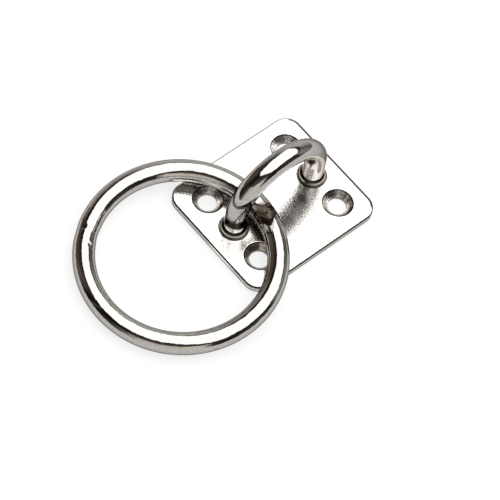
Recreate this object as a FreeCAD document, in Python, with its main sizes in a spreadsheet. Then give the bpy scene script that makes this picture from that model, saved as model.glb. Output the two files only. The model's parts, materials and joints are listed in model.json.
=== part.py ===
import FreeCAD, Part
import math
import os

import Sketcher

# Deck lifting ring: an eye of bent round bar on a square countersunk plate, with a loose welded ring.
# Millimetres. Origin at the centre of the plate's underside, +X along the eye, +Z out of the plate.

# Each driving dimension: its name, its value and what it measures
SIZES = (
    ("plate_length", 43.5, "plate along the eye"),
    ("plate_width", 38.0, "plate across the eye"),
    ("plate_thickness", 2.5, "sheet that the plate is pressed from"),
    ("plate_corner_radius", 4.5, "corner seen from above"),
    ("plate_edge_round", 0.5, "rounding of the polished top edge"),
    ("plate_burr_chamfer", 0.2, "broken edge round the underside"),
    ("screw_spacing_long", 27.5, "screw holes along the eye"),
    ("screw_spacing_wide", 21.5, "screw holes across the eye"),
    ("screw_hole_diameter", 5.3, "clearance hole for a 5 mm screw"),
    ("countersink_diameter", 8.7, "countersink at the plate's top"),
    ("countersink_angle", 90.0, "included angle of the countersink"),
    ("bow_bar_diameter", 6.0, "round bar of the eye"),
    ("foot_spacing", 27.5, "centre to centre of the eye's legs"),
    ("bow_crown_height", 20.8, "bar's centre at the crown, above the plate's top"),
    ("leg_hole_clearance", 0.1, "leg hole over the bar, on the diameter"),
    ("collar_diameter", 7.7, "polished weld collar round each leg"),
    ("collar_wall", 0.5, "upright part of the collar's outside"),
    ("collar_round", 0.3, "rounding over the collar's shoulder"),
    ("back_weld_diameter", 8.0, "weld on the underside, ground flush"),
    ("weld_clearance", 0.02, "left between a weld and the metal it joins"),
    ("ring_bar_diameter", 6.0, "round bar of the ring"),
    ("ring_inside_diameter", 45.0, "free opening of the ring"),
    ("ring_leg_gap", 1.85, "ring's bar to the leg that it goes round, at rest"),
    ("ring_side_shift", 0.8, "ring's centre off the eye's plane, at rest"),
    ("ring_seat_clearance", 0.2, "ring's bar over the plate that it leans on"),
    ("ring_floor_clearance", 0.05, "ring's far end over the surface below"),
)

# The ring's rest: its far end on the surface below, its bar across the plate's two long edges
FORMULAS = (
    ("ring_mean_radius", "(ring_inside_diameter + ring_bar_diameter) / 2"),
    ("ring_near_x", "(bow_bar_diameter + ring_bar_diameter - foot_spacing) / 2 + ring_leg_gap"),
    ("ring_edge_reach", "sqrt(ring_mean_radius ^ 2 - (plate_width / 2 + abs(ring_side_shift)) ^ 2)"),
    ("ring_rise", "plate_thickness + ring_seat_clearance - ring_floor_clearance"),
    ("ring_slope", "asin(ring_rise / (ring_mean_radius + ring_edge_reach))"),
    ("ring_centre_x", "ring_near_x - ring_mean_radius * cos(ring_slope)"),
    ("ring_centre_z", "ring_bar_diameter / 2 + ring_floor_clearance + ring_mean_radius * sin(ring_slope)"),
)

doc = FreeCAD.newDocument("deck_lifting_ring")
sheet = doc.addObject("Spreadsheet::Sheet", "sizes")
for row, (alias, value, meaning) in enumerate(SIZES, start=1):
    sheet.set("A%d" % row, meaning)
    sheet.set("B%d" % row, str(value))
    sheet.setAlias("B%d" % row, alias)
for row, (alias, formula) in enumerate(FORMULAS, start=len(SIZES) + 2):
    sheet.set("A%d" % row, alias.replace("_", " "))
    sheet.set("B%d" % row, "=" + formula)
    sheet.setAlias("B%d" % row, alias)
doc.recompute()


def size(alias):
    """A named value as a plain number, for the first shape of a sketch."""
    value = getattr(sheet, alias)
    return float(getattr(value, "Value", value))


def vector(x, y, z=0.0):
    return FreeCAD.Vector(x, y, z)


# Bodies and sketches

def new_body(name):
    """One piece of the real object."""
    body = doc.addObject("PartDesign::Body", name)
    body.Label = name
    return body


def place_body(body, **formulas):
    """Tie a body's place to the sheet, one formula per axis."""
    for axis, formula in formulas.items():
        body.setExpression(".Placement.Base." + axis, formula)


def new_feature(body, kind, name, **settings):
    feature = body.newObject("PartDesign::" + kind, name)
    for key, value in settings.items():
        setattr(feature, key, value)
    return feature


def new_sketch(body, name, role):
    """A sketch on one of the body's own planes: XY_Plane or XZ_Plane."""
    plane = next(item for item in body.Origin.OriginFeatures if item.Role == role)
    sketch = body.newObject("Sketcher::SketchObject", name)
    sketch.AttachmentSupport = [(plane, "")]
    sketch.MapMode = "FlatFace"
    return sketch


def line(sketch, start, end):
    return sketch.addGeometry(Part.LineSegment(vector(*start), vector(*end)), False)


def circle(sketch, centre, radius):
    return sketch.addGeometry(Part.Circle(vector(*centre), vector(0, 0, 1), radius), False)


def arc(sketch, centre, radius, start_angle, end_angle):
    """Arc drawn counter-clockwise between two angles in degrees."""
    whole = Part.Circle(vector(*centre), vector(0, 0, 1), radius)
    piece = Part.ArcOfCircle(whole, math.radians(start_angle), math.radians(end_angle))
    return sketch.addGeometry(piece, False)


def relate(sketch, *constraint):
    sketch.addConstraint(Sketcher.Constraint(*constraint))


def dimension(sketch, name, formula, *constraint):
    """Add one dimension, name it and tie it to the sheet."""
    index = sketch.addConstraint(Sketcher.Constraint(*constraint))
    sketch.renameConstraint(index, name)
    sketch.setExpression("Constraints." + name, formula)


def edges_at(shape, height, keep):
    """Names of the edges that lie at one height and pass a test on their middle point."""
    names = []
    for number, edge in enumerate(shape.Edges, start=1):
        box = edge.BoundBox
        middle = edge.valueAt((edge.FirstParameter + edge.LastParameter) / 2)
        level = abs(box.ZMin - height) < 1e-4 and abs(box.ZMax - height) < 1e-4
        if level and keep(middle):
            names.append("Edge%d" % number)
    return names


# Base plate: pressed sheet with rounded corners, four countersunk holes and two leg holes

def draw_plate_outline(sketch):
    """Rounded rectangle centred on the origin."""
    half_x = size("plate_length") / 2
    half_y = size("plate_width") / 2
    radius = size("plate_corner_radius")
    in_x = half_x - radius
    in_y = half_y - radius
    front = line(sketch, (-in_x, -half_y), (in_x, -half_y))
    corner_a = arc(sketch, (in_x, -in_y), radius, 270, 360)
    right = line(sketch, (half_x, -in_y), (half_x, in_y))
    corner_b = arc(sketch, (in_x, in_y), radius, 0, 90)
    back = line(sketch, (in_x, half_y), (-in_x, half_y))
    corner_c = arc(sketch, (-in_x, in_y), radius, 90, 180)
    left = line(sketch, (-half_x, in_y), (-half_x, -in_y))
    corner_d = arc(sketch, (-in_x, -in_y), radius, 180, 270)
    loop = (front, corner_a, right, corner_b, back, corner_c, left, corner_d)
    for this, following in zip(loop, loop[1:] + loop[:1]):
        relate(sketch, "Tangent", this, 2, following, 1)
    relate(sketch, "Horizontal", front)
    relate(sketch, "Vertical", right)
    for other in (corner_b, corner_c, corner_d):
        relate(sketch, "Equal", corner_a, other)
    relate(sketch, "Symmetric", corner_a, 3, corner_c, 3, -1, 1)
    dimension(sketch, "length", "sizes.plate_length", "DistanceX", left, 1, right, 1, 2 * half_x)
    dimension(sketch, "width", "sizes.plate_width", "DistanceY", front, 1, back, 2, 2 * half_y)
    dimension(sketch, "corner", "sizes.plate_corner_radius", "Radius", corner_a, radius)


def draw_leg_holes(sketch):
    radius = (size("bow_bar_diameter") + size("leg_hole_clearance")) / 2
    half_spacing = size("foot_spacing") / 2
    left = circle(sketch, (-half_spacing, 0), radius)
    right = circle(sketch, (half_spacing, 0), radius)
    relate(sketch, "Equal", left, right)
    relate(sketch, "Symmetric", left, 3, right, 3, -1, 1)
    relate(sketch, "PointOnObject", left, 3, -1)
    dimension(sketch, "spacing", "sizes.foot_spacing", "DistanceX", left, 3, right, 3, 2 * half_spacing)
    dimension(sketch, "bore_radius", "(sizes.bow_bar_diameter + sizes.leg_hole_clearance) / 2",
              "Radius", left, radius)


def draw_screw_holes(sketch):
    """Four circles on the corners of a rectangle."""
    radius = size("screw_hole_diameter") / 2
    half_x = size("screw_spacing_long") / 2
    half_y = size("screw_spacing_wide") / 2
    corners = ((-half_x, -half_y), (half_x, -half_y), (half_x, half_y), (-half_x, half_y))
    first, second, third, fourth = [circle(sketch, corner, radius) for corner in corners]
    for other in (second, third, fourth):
        relate(sketch, "Equal", first, other)
    relate(sketch, "Symmetric", first, 3, third, 3, -1, 1)
    relate(sketch, "Symmetric", second, 3, fourth, 3, -1, 1)
    relate(sketch, "Horizontal", first, 3, second, 3)
    relate(sketch, "Vertical", second, 3, third, 3)
    dimension(sketch, "long", "sizes.screw_spacing_long", "DistanceX", first, 3, second, 3, 2 * half_x)
    dimension(sketch, "wide", "sizes.screw_spacing_wide", "DistanceY", second, 3, third, 3, 2 * half_y)
    dimension(sketch, "bore_radius", "sizes.screw_hole_diameter / 2", "Radius", first, radius)


def on_outline(point):
    """True on the plate's rounded outline seen from above."""
    radius = size("plate_corner_radius")
    past_x = abs(point.x) - (size("plate_length") / 2 - radius)
    past_y = abs(point.y) - (size("plate_width") / 2 - radius)
    outside = math.hypot(max(past_x, 0.0), max(past_y, 0.0)) + min(max(past_x, past_y), 0.0)
    return abs(outside - radius) < 1e-3


def on_leg_hole(point):
    """True on the rim of a hole that a leg passes through."""
    from_leg = math.hypot(abs(point.x) - size("foot_spacing") / 2, point.y)
    return from_leg < (size("bow_bar_diameter") + size("leg_hole_clearance")) / 2 + 1e-3


def make_base_plate():
    body = new_body("base_plate")
    outline = new_sketch(body, "plate_outline", "XY_Plane")
    draw_plate_outline(outline)
    blank = new_feature(body, "Pad", "plate_blank", Profile=outline)
    blank.setExpression("Length", "sizes.plate_thickness")

    legs = new_sketch(body, "leg_hole_circles", "XY_Plane")
    draw_leg_holes(legs)
    doc.recompute()
    leg_holes = new_feature(body, "Pocket", "leg_holes", Profile=legs, Type="ThroughAll", Midplane=True)
    doc.recompute()

    circles = new_sketch(body, "screw_hole_circles", "XY_Plane")
    circles.setExpression(".AttachmentOffset.Base.z", "sizes.plate_thickness")
    draw_screw_holes(circles)
    doc.recompute()
    screws = new_feature(body, "Hole", "screw_holes", Profile=circles)
    doc.recompute()
    screws.ThreadType = "None"
    screws.DepthType = "ThroughAll"
    screws.setExpression("Diameter", "sizes.screw_hole_diameter")
    screws.HoleCutType = "Countersink"
    screws.setExpression("HoleCutDiameter", "sizes.countersink_diameter")
    screws.setExpression("HoleCutCountersinkAngle", "sizes.countersink_angle")
    doc.recompute()

    rounded = new_feature(body, "Fillet", "polished_top_edge")
    rounded.Base = (screws, edges_at(screws.Shape, size("plate_thickness"), on_outline))
    rounded.setExpression("Radius", "sizes.plate_edge_round")
    doc.recompute()

    broken = new_feature(body, "Chamfer", "broken_under_edge")
    broken.Base = (rounded, edges_at(rounded.Shape, 0.0, on_outline))
    broken.setExpression("Size", "sizes.plate_burr_chamfer")
    doc.recompute()

    grooves = new_feature(body, "Chamfer", "back_weld_grooves")
    grooves.Base = (broken, edges_at(broken.Shape, 0.0, on_leg_hole))
    grooves.setExpression(
        "Size", "(sizes.back_weld_diameter - sizes.bow_bar_diameter - sizes.leg_hole_clearance) / 2")
    body.Tip = grooves
    doc.recompute()
    return body


# Eye: one round bar bent to a half circle over two straight legs, which end flush under the plate

def make_eye_bow():
    body = new_body("eye_bow")
    radius = size("foot_spacing") / 2
    bend_height = size("plate_thickness") + size("bow_crown_height") - radius
    path = new_sketch(body, "bar_centre_line", "XZ_Plane")
    left = line(path, (-radius, 0), (-radius, bend_height))
    over = arc(path, (0, bend_height), radius, 0, 180)
    right = line(path, (radius, bend_height), (radius, 0))
    relate(path, "Tangent", left, 2, over, 2)
    relate(path, "Tangent", over, 1, right, 1)
    relate(path, "Vertical", left)
    relate(path, "Vertical", right)
    relate(path, "PointOnObject", left, 1, -1)
    relate(path, "PointOnObject", right, 2, -1)
    relate(path, "PointOnObject", over, 3, -2)
    dimension(path, "bend", "sizes.foot_spacing / 2", "Radius", over, radius)
    dimension(path, "bend_height",
              "sizes.plate_thickness + sizes.bow_crown_height - sizes.foot_spacing / 2",
              "DistanceY", -1, 1, over, 3, bend_height)

    section = new_sketch(body, "bar_section", "XY_Plane")
    bar = circle(section, (-radius, 0), size("bow_bar_diameter") / 2)
    relate(section, "PointOnObject", bar, 3, -1)
    dimension(section, "bar_radius", "sizes.bow_bar_diameter / 2",
              "Radius", bar, size("bow_bar_diameter") / 2)
    dimension(section, "foot", "sizes.foot_spacing / 2", "DistanceX", bar, 3, -1, 1, radius)
    doc.recompute()

    body.Tip = new_feature(body, "AdditivePipe", "bent_bar", Profile=section, Spine=(path, []))
    doc.recompute()
    return body


# Weld collar on the plate's top: upright wall, rounded shoulder, hollow sweep up to the leg

def make_foot_collar(name, side):
    body = new_body(name)
    inner = size("bow_bar_diameter") / 2 + size("weld_clearance")
    outer = size("collar_diameter") / 2
    wall = size("collar_wall")
    shoulder = size("collar_round")
    hollow = outer - shoulder - inner
    profile = new_sketch(body, name + "_profile", "XZ_Plane")
    base = line(profile, (inner, 0), (outer, 0))
    outside = line(profile, (outer, 0), (outer, wall))
    rounding = arc(profile, (outer - shoulder, wall), shoulder, 0, 90)
    sweep = arc(profile, (outer - shoulder, wall + shoulder + hollow), hollow, 180, 270)
    inside = line(profile, (inner, wall + shoulder + hollow), (inner, 0))
    relate(profile, "Coincident", base, 2, outside, 1)
    relate(profile, "Coincident", inside, 2, base, 1)
    relate(profile, "Tangent", outside, 2, rounding, 1)
    relate(profile, "Tangent", rounding, 2, sweep, 2)
    relate(profile, "Tangent", sweep, 1, inside, 1)
    relate(profile, "Horizontal", base)
    relate(profile, "Vertical", outside)
    relate(profile, "Vertical", inside)
    relate(profile, "PointOnObject", base, 1, -1)
    dimension(profile, "inner", "sizes.bow_bar_diameter / 2 + sizes.weld_clearance",
              "DistanceX", -1, 1, base, 1, inner)
    dimension(profile, "outer", "sizes.collar_diameter / 2", "DistanceX", -1, 1, base, 2, outer)
    dimension(profile, "wall", "sizes.collar_wall", "DistanceY", outside, 1, outside, 2, wall)
    dimension(profile, "round", "sizes.collar_round", "Radius", rounding, shoulder)
    doc.recompute()
    revolve(body, profile)
    place_body(body, x="%d * sizes.foot_spacing / 2" % side, z="sizes.plate_thickness")
    doc.recompute()
    return body


def revolve(body, profile):
    """Turn a profile once round the body's upright axis."""
    turned = new_feature(body, "Revolution", profile.Name + "_turned", Profile=profile,
                         ReferenceAxis=(profile, ["V_Axis"]), Angle=360.0)
    body.Tip = turned
    doc.recompute()


# Weld on the underside: it fills the groove round the leg's end and is ground flush with the plate

def make_back_weld(name, side):
    body = new_body(name)
    inner = size("bow_bar_diameter") / 2 + size("weld_clearance")
    outer = size("back_weld_diameter") / 2 - size("weld_clearance")
    profile = new_sketch(body, name + "_profile", "XZ_Plane")
    face = line(profile, (inner, 0), (outer, 0))
    slope = line(profile, (outer, 0), (inner, outer - inner))
    leg_side = line(profile, (inner, outer - inner), (inner, 0))
    relate(profile, "Coincident", face, 2, slope, 1)
    relate(profile, "Coincident", slope, 2, leg_side, 1)
    relate(profile, "Coincident", leg_side, 2, face, 1)
    relate(profile, "PointOnObject", face, 1, -1)
    relate(profile, "Horizontal", face)
    relate(profile, "Vertical", leg_side)
    relate(profile, "Equal", face, leg_side)
    dimension(profile, "inner", "sizes.bow_bar_diameter / 2 + sizes.weld_clearance",
              "DistanceX", -1, 1, face, 1, inner)
    dimension(profile, "outer", "sizes.back_weld_diameter / 2 - sizes.weld_clearance",
              "DistanceX", -1, 1, face, 2, outer)
    doc.recompute()
    revolve(body, profile)
    place_body(body, x="%d * sizes.foot_spacing / 2" % side)
    doc.recompute()
    return body


# Ring: round bar closed by a butt weld, lying through the eye and leaning on the plate's long edges

def make_ring():
    body = new_body("ring")
    section = new_sketch(body, "ring_bar_section", "XZ_Plane")
    bar = circle(section, (size("ring_mean_radius"), 0), size("ring_bar_diameter") / 2)
    relate(section, "PointOnObject", bar, 3, -1)
    dimension(section, "mean_radius", "sizes.ring_mean_radius",
              "DistanceX", -1, 1, bar, 3, size("ring_mean_radius"))
    dimension(section, "bar_radius", "sizes.ring_bar_diameter / 2",
              "Radius", bar, size("ring_bar_diameter") / 2)
    doc.recompute()
    revolve(body, section)
    body.Placement = FreeCAD.Placement(vector(0, 0), FreeCAD.Rotation(vector(0, -1, 0), size("ring_slope")))
    body.setExpression(".Placement.Rotation.Angle", "sizes.ring_slope")
    place_body(body, x="sizes.ring_centre_x", y="sizes.ring_side_shift", z="sizes.ring_centre_z")
    doc.recompute()
    return body


pieces = [
    make_base_plate(),
    make_eye_bow(),
    make_foot_collar("foot_collar_left", -1),
    make_foot_collar("foot_collar_right", 1),
    make_back_weld("back_weld_left", -1),
    make_back_weld("back_weld_right", 1),
    make_ring(),
]

# Check every object and every piece before anything is written
doc.recompute()
for item in doc.Objects:
    if "Invalid" in item.State or "Error" in item.State:
        raise RuntimeError("%s failed: %s" % (item.Name, item.State))
for piece in pieces:
    if piece.Shape.isNull() or not piece.Shape.isValid() or len(piece.Shape.Solids) != 1:
        raise RuntimeError("%s has no valid solid" % piece.Label)

os.makedirs("parts", exist_ok=True)
for piece in pieces:
    piece.Shape.exportStep(os.path.join("parts", piece.Label + ".step"))
    print("%-18s volume %9.2f mm3" % (piece.Label, piece.Shape.Volume))
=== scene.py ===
import json
import math

import bmesh
import bpy
from bpy.props import FloatProperty, FloatVectorProperty, IntProperty, PointerProperty
from mathutils import Euler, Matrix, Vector


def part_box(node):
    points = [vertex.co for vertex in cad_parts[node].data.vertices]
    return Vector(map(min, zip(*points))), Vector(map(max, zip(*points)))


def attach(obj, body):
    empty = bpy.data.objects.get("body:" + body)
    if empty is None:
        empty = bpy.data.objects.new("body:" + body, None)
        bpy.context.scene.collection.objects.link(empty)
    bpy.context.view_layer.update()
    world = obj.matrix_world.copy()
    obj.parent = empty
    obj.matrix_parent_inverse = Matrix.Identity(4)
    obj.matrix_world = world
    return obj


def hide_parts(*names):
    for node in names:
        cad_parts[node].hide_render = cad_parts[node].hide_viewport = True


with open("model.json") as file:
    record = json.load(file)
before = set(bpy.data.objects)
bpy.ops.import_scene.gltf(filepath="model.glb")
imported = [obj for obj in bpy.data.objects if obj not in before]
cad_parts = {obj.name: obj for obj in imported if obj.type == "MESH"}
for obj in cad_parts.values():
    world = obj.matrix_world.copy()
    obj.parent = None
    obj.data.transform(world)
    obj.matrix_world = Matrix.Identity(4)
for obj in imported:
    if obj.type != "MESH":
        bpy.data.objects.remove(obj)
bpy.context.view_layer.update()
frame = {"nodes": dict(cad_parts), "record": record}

bl_info = {
    "name": "Deck Lifting Ring",
    "version": (1, 0, 0),
    "blender": (4, 5, 0),
    "location": "View3D > Sidebar > Deck Ring",
    "description": "Polished base plate, eye, weld collars and loose ring, with a plain studio",
    "category": "Object",
}

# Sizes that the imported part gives, in metres
MOUNTS = {mount["name"]: mount for mount in frame["record"]["mounts"]}
PLATE_LOW, PLATE_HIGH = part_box("base_plate")
EYE_LOW, EYE_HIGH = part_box("eye_bow")
COLLAR_LOW, COLLAR_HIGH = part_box("foot_collar_left")
WELD_LOW, WELD_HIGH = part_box("back_weld_left")
RING_LOW, RING_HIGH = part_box("ring")
SCREW_DIMS = MOUNTS["screw_holes"]["dims"]
SCREW_X = SCREW_DIMS["spacing_x_mm"] / 2000
SCREW_Y = SCREW_DIMS["spacing_y_mm"] / 2000
SCREW_PLACES = [(x * SCREW_X, y * SCREW_Y) for x in (-1, 1) for y in (-1, 1)]
SCREW_HOLE = SCREW_DIMS["hole_r_mm"] / 1000
PLATE_TOP = PLATE_HIGH.z
BAR_RADIUS = (EYE_HIGH.y - EYE_LOW.y) / 2
FOOT_REACH = EYE_HIGH.x - BAR_RADIUS
BEND_HEIGHT = EYE_HIGH.z - BAR_RADIUS - FOOT_REACH
RING_CENTRE = Vector(MOUNTS["ring_opening"]["pos_m"])
RING_REACH = (RING_HIGH.y - RING_LOW.y) / 2 - BAR_RADIUS
RING_TILT = math.asin((RING_HIGH.z - RING_LOW.z - 2 * BAR_RADIUS) / (2 * RING_REACH))
SIDES = {"left": -1, "right": 1}


class DECKRING_PG_plate(bpy.types.PropertyGroup):
    """Edges, corners and holes of the base plate."""

    corner_radius: FloatProperty(
        name="Corner radius", description="Plate corner seen from above",
        default=0.0045, min=0.0, unit="LENGTH")
    edge_round: FloatProperty(
        name="Edge round", description="Polished rounding of the top edge",
        default=0.0005, min=0.0, unit="LENGTH")
    burr_chamfer: FloatProperty(
        name="Burr chamfer", description="Broken edge round the underside",
        default=0.0002, min=0.0, unit="LENGTH")
    countersink_diameter: FloatProperty(
        name="Countersink", description="Countersink diameter at the plate's top",
        default=0.0087, min=0.0, unit="LENGTH")
    rim_break: FloatProperty(
        name="Rim break", description="Sharpness taken off the countersink's rim",
        default=0.00008, min=0.0, unit="LENGTH")
    leg_hole_clearance: FloatProperty(
        name="Leg hole clearance", description="Leg hole over the bar, on the diameter",
        default=0.0001, min=0.0, unit="LENGTH")
    weld_clearance: FloatProperty(
        name="Weld clearance", description="Gap between a weld and the metal it joins",
        default=0.00002, min=0.0, unit="LENGTH")


class DECKRING_PG_eye(bpy.types.PropertyGroup):
    """Fineness of the eye and form of its weld collars."""

    bar_sides: IntProperty(
        name="Bar sides", description="Faces round the bar's section",
        default=72, min=12)
    bend_steps: IntProperty(
        name="Bend steps", description="Faces along the half circle of the eye",
        default=120, min=12)
    collar_wall: FloatProperty(
        name="Collar wall", description="Upright part of a weld collar's outside",
        default=0.0005, min=0.0, unit="LENGTH")
    collar_round: FloatProperty(
        name="Collar round", description="Rounding over a weld collar's shoulder",
        default=0.0003, min=0.0, unit="LENGTH")


class DECKRING_PG_ring(bpy.types.PropertyGroup):
    """Fineness of the ring and form of its butt weld."""

    bar_sides: IntProperty(
        name="Bar sides", description="Faces round the bar's section",
        default=80, min=12)
    turn_steps: IntProperty(
        name="Turn steps", description="Faces along the whole ring",
        default=480, min=24)
    weld_angle: FloatProperty(
        name="Weld angle", description="Place of the butt weld, from +X round the ring",
        default=math.radians(128.0), subtype="ANGLE")
    weld_length: FloatProperty(
        name="Weld length", description="Stretch of bar ground thinner at the butt weld",
        default=0.0055, min=0.0, unit="LENGTH")
    weld_loss: FloatProperty(
        name="Weld loss", description="Depth ground off the bar at the butt weld",
        default=0.00012, min=0.0, unit="LENGTH")
    nick_depth: FloatProperty(
        name="Nick depth", description="Depth of the two small pits left in the weld",
        default=0.00012, min=0.0, unit="LENGTH")


class DECKRING_PG_finish(bpy.types.PropertyGroup):
    """Colours of the steel."""

    plate_colour: FloatVectorProperty(
        name="Plate steel", description="Polished stainless sheet",
        default=(0.54, 0.525, 0.505), size=3, min=0.0, max=1.0, subtype="COLOR")
    bar_colour: FloatVectorProperty(
        name="Bar steel", description="Polished stainless round bar",
        default=(0.43, 0.418, 0.400), size=3, min=0.0, max=1.0, subtype="COLOR")
    weld_colour: FloatVectorProperty(
        name="Weld steel", description="Polished weld metal",
        default=(0.43, 0.410, 0.385), size=3, min=0.0, max=1.0, subtype="COLOR")
    # Dark colour that is painted as shade on the collars, round their foot, in the countersinks and on
    # the ring by the eye
    shade_colour: FloatVectorProperty(
        name="Burnt weld", description="Heat tint left beside the welds' polished crest",
        default=(0.062, 0.050, 0.041), size=3, min=0.0, max=1.0, subtype="COLOR")


class DECKRING_PG_studio(bpy.types.PropertyGroup):
    """Camera place, floor and light."""

    camera_azimuth: FloatProperty(
        name="Camera azimuth", description="Turn of the camera round the plate, from +X",
        default=math.radians(-140.95), subtype="ANGLE")
    camera_elevation: FloatProperty(
        name="Camera elevation", description="Height of the camera over the horizon",
        default=math.radians(59.54), subtype="ANGLE")
    camera_roll: FloatProperty(
        name="Camera roll", description="Turn of the camera about its own line of sight",
        default=math.radians(12.62), subtype="ANGLE")
    camera_distance: FloatProperty(
        name="Camera distance", description="From the camera to the point it looks at",
        default=0.68285, min=0.01, unit="LENGTH")
    camera_aim: FloatVectorProperty(
        name="Camera aim", description="Point on the floor that the camera looks at",
        default=(-0.013584, -0.006945, 0.0), size=3, unit="LENGTH")
    camera_lens: FloatProperty(
        name="Lens", description="Focal length in millimetres on a 36 mm sensor",
        default=185.64, min=1.0)
    light_strength: FloatProperty(
        name="Light strength", description="Brightness of the soft box overhead",
        default=2.5, min=0.0)
    light_edge: FloatProperty(
        name="Light edge", description="Softness of the soft box's rim, for each metre of height",
        default=0.05, min=0.001)
    floor_colour: FloatVectorProperty(
        name="Floor", description="Plain pale floor",
        default=(0.95, 0.95, 0.95), size=3, min=0.0, max=1.0, subtype="COLOR")
    floor_lift: FloatProperty(
        name="Floor lift", description="Share of plain white laid over the floor's own shading",
        default=0.75, min=0.0, max=1.0, subtype="FACTOR")


# Modelling in edit mode

def start_clean():
    """Leave edit mode and deselect every object."""
    if bpy.context.mode != "OBJECT":
        bpy.ops.object.mode_set(mode="OBJECT")
    bpy.ops.object.select_all(action="DESELECT")


def choose(piece):
    """Select one object alone and make it the active one."""
    start_clean()
    bpy.context.view_layer.objects.active = piece
    piece.select_set(True)


def settle():
    """Put the place, turn and size of the selected object in its mesh."""
    bpy.ops.object.transform_apply(location=True, rotation=True, scale=True)


def open_piece(name):
    """Name the primitive that was just added, put its place in its mesh and open it."""
    piece = bpy.context.object
    piece.name = name
    piece.data.name = name
    settle()
    bpy.ops.object.mode_set(mode="EDIT")
    bpy.ops.mesh.select_all(action="SELECT")
    return piece


def pick(kind, test):
    """Select only the vertices, edges or faces of the open piece that pass a test."""
    bpy.ops.mesh.select_mode(type={"verts": "VERT", "edges": "EDGE", "faces": "FACE"}[kind])
    bpy.ops.mesh.select_all(action="DESELECT")
    mesh = bmesh.from_edit_mesh(bpy.context.object.data)
    found = [item for item in getattr(mesh, kind) if test(item)]
    for item in found:
        item.select_set(True)
    mesh.select_flush_mode()
    bmesh.update_edit_mesh(bpy.context.object.data)
    if not found:
        raise RuntimeError("%s: no %s to pick" % (bpy.context.object.name, kind))


def level_edge(height):
    """Test for edges that lie at one height."""
    return lambda edge: all(abs(vert.co.z - height) < 1e-6 for vert in edge.verts)


def extrude_up(rise):
    """Extrude what is selected along Z."""
    bpy.ops.mesh.extrude_region_move(TRANSFORM_OT_translate={"value": (0.0, 0.0, rise)})


def turned_piece(name, profile, fill_type, x=0.0):
    """Form turned about an upright axis from (radius, height) pairs, left open to edit."""
    (radius, height), *rest = profile
    start_clean()
    bpy.ops.mesh.primitive_circle_add(
        vertices=96, radius=radius, fill_type=fill_type, location=(x, 0.0, height))
    piece = open_piece(name)
    for new_radius, new_height in rest:
        extrude_up(new_height - height)
        scale = new_radius / radius
        bpy.ops.transform.resize(value=(scale, scale, 1.0), center_override=(x, 0.0, 0.0))
        radius, height = new_radius, new_height
    return piece


def close_piece(piece, smooth_angle=30.0):
    """Merge doubles, turn the faces outwards, leave edit mode and smooth a selected piece."""
    bpy.ops.mesh.select_all(action="SELECT")
    bpy.ops.mesh.remove_doubles(threshold=1e-7)
    bpy.ops.mesh.normals_make_consistent(inside=False)
    bpy.ops.object.mode_set(mode="OBJECT")
    bpy.ops.object.shade_smooth_by_angle(angle=math.radians(smooth_angle))
    keep_flats_flat(piece)


def apply_modifier(piece, name):
    """Apply one modifier of a piece."""
    choose(piece)
    bpy.ops.object.modifier_apply(modifier=name)


def keep_flats_flat(piece):
    """Weight a smooth piece's shading by face area, so that a flat beside a rounding stays flat."""
    modifier = piece.modifiers.new("Flats", "WEIGHTED_NORMAL")
    modifier.keep_sharp = True
    modifier.weight = 100
    apply_modifier(piece, "Flats")


def cut_away(piece, cutter):
    """Cut one solid out of another and delete the cutter."""
    modifier = piece.modifiers.new("Cut", "BOOLEAN")
    modifier.operation = "DIFFERENCE"
    modifier.solver = "EXACT"
    modifier.object = cutter
    apply_modifier(piece, "Cut")
    bpy.data.objects.remove(cutter)


def note_bar_place(piece, place_on_bar):
    """Store, for each point, its place in the bar's section and its way along the bar."""
    places = piece.data.attributes.new("bar_place", "FLOAT_VECTOR", "POINT")
    for vertex, place in zip(piece.data.vertices, places.data):
        place.vector = place_on_bar(vertex.co)


def hand_over(piece, body, slot, material, *nodes):
    """Give a finished piece its material and body, and hide the solids it stands for; the slot is not
    used.
    """
    piece.data.materials.clear()
    piece.data.materials.append(material)
    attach(piece, body)
    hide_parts(*nodes)


# Base plate

def turned_cutter(profile):
    """Solid turned about the upright axis from (radius, height) pairs, bottom to top."""
    cutter = turned_piece("cutter", profile, "NGON")
    bpy.ops.mesh.select_all(action="SELECT")
    bpy.ops.mesh.normals_make_consistent(inside=False)
    bpy.ops.object.mode_set(mode="OBJECT")
    return cutter


def place_copy(cutter, x, y):
    """Copy of a cutter moved to one hole, with its place in its mesh."""
    copy = cutter.copy()
    copy.data = cutter.data.copy()
    bpy.context.collection.objects.link(copy)
    choose(copy)
    bpy.ops.transform.translate(value=(x, y, 0.0))
    settle()
    return copy


def plate_blank(settings):
    """Sheet with rounded corners, a rounded top edge and a broken edge below."""
    bpy.ops.mesh.primitive_cube_add(size=1.0, location=(0.0, 0.0, 0.0))
    plate = open_piece("polished_plate")
    extent = PLATE_HIGH - PLATE_LOW
    bpy.ops.transform.resize(value=extent, center_override=(0.0, 0.0, 0.0))
    bpy.ops.transform.translate(value=(PLATE_HIGH + PLATE_LOW) / 2)
    pick("edges", lambda edge: abs(edge.verts[0].co.z - edge.verts[1].co.z) > extent.z / 2)
    bpy.ops.mesh.bevel(offset=settings.corner_radius, segments=20, affect="EDGES")
    pick("edges", level_edge(PLATE_TOP))
    bpy.ops.mesh.bevel(offset=settings.edge_round, segments=9, affect="EDGES")
    pick("edges", level_edge(PLATE_LOW.z))
    bpy.ops.mesh.bevel(offset=settings.burr_chamfer, segments=1, affect="EDGES")
    bpy.ops.object.mode_set(mode="OBJECT")
    return plate


def screw_cutter(settings):
    """Through hole and countersink of one screw."""
    rim = settings.countersink_diameter / 2
    over = PLATE_TOP / 2
    return turned_cutter((
        (SCREW_HOLE, PLATE_LOW.z - over),
        (SCREW_HOLE, PLATE_TOP - (rim - SCREW_HOLE)),
        (rim + over, PLATE_TOP + over),
    ))


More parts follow.
